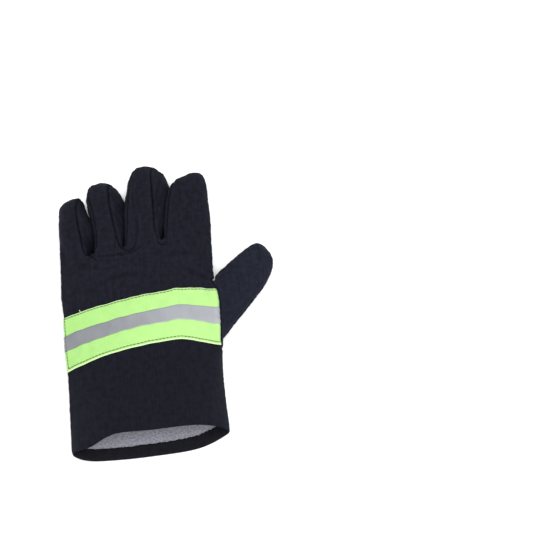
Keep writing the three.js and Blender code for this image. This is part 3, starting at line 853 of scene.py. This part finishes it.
# The band is a 50 mm lime tape of woven polyester, laid across the back of the hand from the side
# seam to the thumb seam and sewn down all round with one dark thread.
TAPE_ROWS = (3, 6)
TAPE_LEFT = 1.2  # the level on the side of the glove where its left end lies
TAPE_RIGHT = 0.06
STITCH_INSET = 1.8
TAPE_LIFT = 0.15
TAPE_THICK = 0.6
STRIPE_THICK = 0.22
# What a step of the counts measures: across the back, down its side, and along the glove at the
# tape's lower and upper edges.
COLUMN_WIDTH = 11
SIDE_WIDTH = 12
LOWEST_ROW = 17.5
HIGHEST_ROW = 19.5


def lay_on_back(name, rows, lift, thick):
    """A strip cut to the back's own shape between two rows and laid on it."""
    def inside(owners, middles):
        column, row, level = middles.T
        side = (column < 0.01) & (level > TAPE_LEFT)
        across = (column < COLUMNS - TAPE_RIGHT) & ((level > 1.99) & (column > 0.01) | side)
        return (owners == panels.index("back")) & across & (row > rows[0]) & (row < rows[1])

    strip = cut_out(name, inside)
    points = mesh_points(strip.data)
    column, row, level = counts_of(strip.data).T
    to_left = column * COLUMN_WIDTH + (level - TAPE_LEFT) * SIDE_WIDTH
    to_ends = np.minimum(to_left, (COLUMNS - column) * COLUMN_WIDTH)
    to_edges = np.minimum((row - TAPE_ROWS[0]) * LOWEST_ROW, (TAPE_ROWS[1] - row) * HIGHEST_ROW)
    from_edge = strip.data.attributes.new("from_edge", "FLOAT", "POINT")
    from_edge.data.foreach_set("value", np.minimum(to_ends, to_edges))
    set_points(strip.data, points + mesh_normals(strip.data) * lift * MM)
    use_modifier(strip, "SOLIDIFY", thickness=thick * MM, offset=1, use_rim=True)
    strip.data.materials.clear()
    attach(strip, "root")
    return strip


tape = lay_on_back("lime_tape", TAPE_ROWS, TAPE_LIFT, TAPE_THICK)
lime = Finish("lime_weave", {"Specular IOR Level": 0.25, "Sheen Weight": 0.1})
ribs = (lime.parts(lime.place((1, 1 / 0.0006, 1)))[1] * math.pi).math("SINE").math("ABSOLUTE")
threads = lime.speckle(lime.place((1, 0.1, 1)), 0.0005, 2)
cloud = lime.speckle(lime.place(), 0.008, 3)
from_edge = lime.attribute("from_edge")
# The tape's colour mottles at random and grows lighter towards its right end.
to_right = lime.parts(lime.place((1, 1, 1), "Object"))[0].between(-0.07, 0.06)
mottle_and_ramp = (cloud * 0.6 + threads * 0.4).between(0.3, 0.7) * 0.45 + to_right * 0.55
lime_colour = lime.blend(mottle_and_ramp, shade(131, 180, 91), shade(151, 194, 112))
lime_colour = lime.blend(ribs * 0.15, lime_colour, shade(186, 222, 160))
# Painted highlight: the tape is paler along its edges.
lime_colour = lime.blend(1 - from_edge.between(0.3, 0.9), lime_colour, shade(190, 222, 156))
# Painted shade darkens the tape along the sunk line of the stitches.
stitch_groove_shade = from_edge.between(0.8, 1.2) * (1 - from_edge.between(1.4, 1.9))
lime_colour = lime.blend(stitch_groove_shade * 0.3, lime_colour, shade(92, 128, 62))
lime_height = ribs * 0.5 + threads
tape.data.materials.append(lime.finish(lime_colour, 0.7 - cloud * 0.1, lime_height, 0.00012))
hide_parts("reflective_band")

# Along the tape's middle runs a 13 mm stripe of silver reflecting film, fine glass beads on grey
# cloth, pressed on with heat.
stripe = lay_on_back("silver_stripe", (4, 5), TAPE_LIFT + TAPE_THICK, STRIPE_THICK)
silver = Finish("silver_film", {"Specular IOR Level": 0.5, "Metallic": 0.6})
beads = silver.speckle(silver.place(), 0.00035, 1)
smudge = silver.speckle(silver.place((1, 0.6, 1)), 0.011, 4, 0.6)
# Painted reflection: the film grows lighter towards the right, with smudges at random.
across = silver.parts(silver.place((1, 1, 1), "Object"))[0].between(-0.06, 0.078)
reflection_and_smudge = across * 0.75 + smudge * 0.25
silver_colour = silver.blend(reflection_and_smudge, shade(106, 109, 112), shade(160, 163, 168))
silver_colour = silver.blend(beads.between(0.6, 0.75) * 0.25, silver_colour, shade(190, 192, 198))
silver_height = beads + smudge
silver_rough = 0.5 + smudge * 0.08
stripe.data.materials.append(silver.finish(silver_colour, silver_rough, silver_height, 0.00006))
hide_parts("reflective_stripe")

# A single dark thread holds the tape: along both edges and down the left end, in short stitches
# that lie a little sunk into the tape.
STITCH_PITCH = 3.1
STITCH_LENGTH = 2.5
STITCH_RADIUS = 0.3
STITCH_BEVEL = 0.2
LEFT_STITCHES = -0.4  # the column of the seam down the left end, on the glove's side
PER_STEP = 16  # the shell's points in one step of the counts
by_count = {}
shell_points = mesh_points(shell.data)
shell_normals = mesh_normals(shell.data)
for point, (column, row, level) in enumerate(counts):
    on_side = column < 0.01 and level > 0.99
    on_rows = TAPE_ROWS[0] - 0.1 < row < TAPE_ROWS[1] + 0.1
    if (level > 1.99 or on_side) and on_rows and column <= COLUMNS:
        by_count[round((column + level - 2) * PER_STEP), round(row * PER_STEP)] = point


def on_tape(column, row):
    """The place on the tape's face over a column, below 0 down the side, and a row of the back."""
    corner = math.floor(column * PER_STEP), math.floor(row * PER_STEP)
    part = column * PER_STEP - corner[0], row * PER_STEP - corner[1]
    place = Vector((0, 0, 0))
    for step in ((0, 0), (1, 0), (0, 1), (1, 1)):
        point = by_count[corner[0] + step[0], corner[1] + step[1]]
        share = (part[0] if step[0] else 1 - part[0]) * (part[1] if step[1] else 1 - part[1])
        lifted = shell_points[point] + shell_normals[point] * (TAPE_LIFT + TAPE_THICK) * MM
        place += Vector(lifted) * float(share)
    return place


low_row = TAPE_ROWS[0] + STITCH_INSET / LOWEST_ROW
high_row = TAPE_ROWS[1] - STITCH_INSET / HIGHEST_ROW
columns = np.linspace(LEFT_STITCHES, COLUMNS - 2 * TAPE_RIGHT, 130)
rows = np.linspace(low_row, high_row, 40)
bpy.ops.object.select_all(action="DESELECT")
seam_lines = (
    [on_tape(column, low_row) for column in columns],
    [on_tape(column, high_row) for column in columns],
    [on_tape(LEFT_STITCHES, row) for row in rows],
)
stitches = []
for line in seam_lines:
    bpy.ops.curve.primitive_nurbs_path_add(radius=0.01)
    path = bpy.context.object
    path.data.splines.clear()
    spline = path.data.splines.new("POLY")
    spline.points.add(len(line) - 1)
    for point, place in zip(spline.points, line):
        point.co = (*place, 1)
    bpy.ops.mesh.primitive_cylinder_add(
        vertices=8, radius=STITCH_RADIUS * MM, depth=STITCH_LENGTH * MM,
        rotation=(0, math.pi / 2, 0),
    )
    stitch = bpy.context.object
    bpy.ops.object.transform_apply(location=True, rotation=True, scale=True)
    bpy.ops.object.mode_set(mode="EDIT")
    bpy.ops.mesh.select_all(action="SELECT")
    bpy.ops.mesh.bevel(offset=STITCH_BEVEL * MM, segments=2, affect="EDGES")
    bpy.ops.transform.translate(value=(0.0014, 0, 0.00008))
    bpy.ops.object.mode_set(mode="OBJECT")
    use_modifier(
        stitch, "ARRAY", fit_type="FIT_CURVE", curve=path, use_relative_offset=False,
        use_constant_offset=True, constant_offset_displace=(STITCH_PITCH * MM, 0, 0),
    )
    use_modifier(stitch, "CURVE", object=path, deform_axis="POS_X")
    bpy.data.objects.remove(path)
    stitches.append(stitch)
bpy.ops.object.select_all(action="DESELECT")
for stitch in stitches:
    stitch.select_set(True)
bpy.context.view_layer.objects.active = stitches[0]
bpy.ops.object.join()
thread = bpy.context.object
thread.name = "tape_stitches"
bpy.ops.object.shade_smooth()
twine = Finish("dark_thread", {"Specular IOR Level": 0.3, "Sheen Weight": 0.2})
fuzz = twine.speckle(twine.place((1, 1, 1), "Object"), 0.0004, 2)
twine_colour = twine.blend(fuzz, shade(16, 20, 18), shade(38, 44, 34))
thread.data.materials.clear()
thread.data.materials.append(twine.finish(twine_colour, 0.8 - fuzz * 0.1, fuzz, 0.00006))
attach(thread, "root")

# At the tape's upper edge, near its left end, a pale end of its selvedge thread stands up: one
# short bend of cotton thread, modelled as a curve with its handles free.
THREAD_RADIUS = 0.28
foot = on_tape(1.2, TAPE_ROWS[1])
bpy.ops.curve.primitive_bezier_curve_add()
loose = bpy.context.object
loose.name = "loose_selvedge_thread"
bends = (
    ((0.9, -1.5, -0.2), (0.4, -0.6, -0.1), (0.1, 0.2, 0.3)),
    ((-0.4, 1, 0.8), (-0.7, 1.7, 0.7), (-1, 2.2, 0.6)),
)
for point, bend in zip(loose.data.splines[0].bezier_points, bends):
    point.handle_left_type = point.handle_right_type = "FREE"
    places = [foot + Vector(step) * MM for step in bend]
    point.handle_left, point.co, point.handle_right = places
loose.data.bevel_depth = THREAD_RADIUS * MM
loose.data.bevel_resolution = 2
loose.data.resolution_u = 10
loose.data.use_fill_caps = True
bpy.ops.object.convert(target="MESH")
bpy.ops.object.select_all(action="DESELECT")
loose = bpy.context.object
loose.select_set(True)
bpy.ops.object.transform_apply(location=True, rotation=True, scale=True)
bpy.ops.object.shade_smooth()
pale = Finish("pale_thread", {"Specular IOR Level": 0.2, "Sheen Weight": 0.1})
twist = pale.speckle(pale.place((1, 1, 1), "Object"), 0.0003, 2)
pale_colour = pale.blend(twist, shade(160, 176, 140), shade(192, 204, 176))
loose.data.materials.append(pale.finish(pale_colour, 0.85 - twist * 0.1, twist, 0.00004))
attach(loose, "root")
bpy.data.objects.remove(shell)

# The glove lies on a sheet of white paper. A wide soft box shines from behind the camera and a
# smaller one from the far left, in a bright white room.
ROOM_LIGHT = 1.15
bpy.ops.object.select_all(action="DESELECT")
bpy.ops.mesh.primitive_plane_add(size=6)
floor = bpy.context.object
floor.name = "paper_floor"
paper = Finish("white_paper", {"Specular IOR Level": 0.1})
grain = paper.speckle(paper.place((1, 1, 1), "Object"), 0.004, 3)
paper_colour = paper.blend(grain, (0.96, 0.96, 0.96, 1), (0.98, 0.98, 0.98, 1))
floor.data.materials.append(paper.finish(paper_colour, 0.95 - grain * 0.03, grain, 0.00002))
world = bpy.data.worlds.new("studio")
bpy.context.scene.world = world
world.use_nodes = True
world.node_tree.nodes["Background"].inputs["Color"].default_value = (1, 1, 1, 1)
world.node_tree.nodes["Background"].inputs["Strength"].default_value = ROOM_LIGHT
softboxes = (
    dict(place=LOOK_AT + towards_camera + Vector((0.2, 0, 0)), size=1.1, power=10),
    dict(place=Vector((-0.7, 0.3, 0.9)), size=0.9, power=3),
)
for box in softboxes:
    bpy.ops.object.light_add(type="AREA", location=box["place"])
    softbox = bpy.context.object
    softbox.data.size = box["size"]
    softbox.data.energy = box["power"]
    softbox.rotation_mode = "QUATERNION"
    softbox.rotation_quaternion = (-softbox.location).to_track_quat("-Z", "Y")
bpy.context.scene.view_settings.view_transform = "Standard"
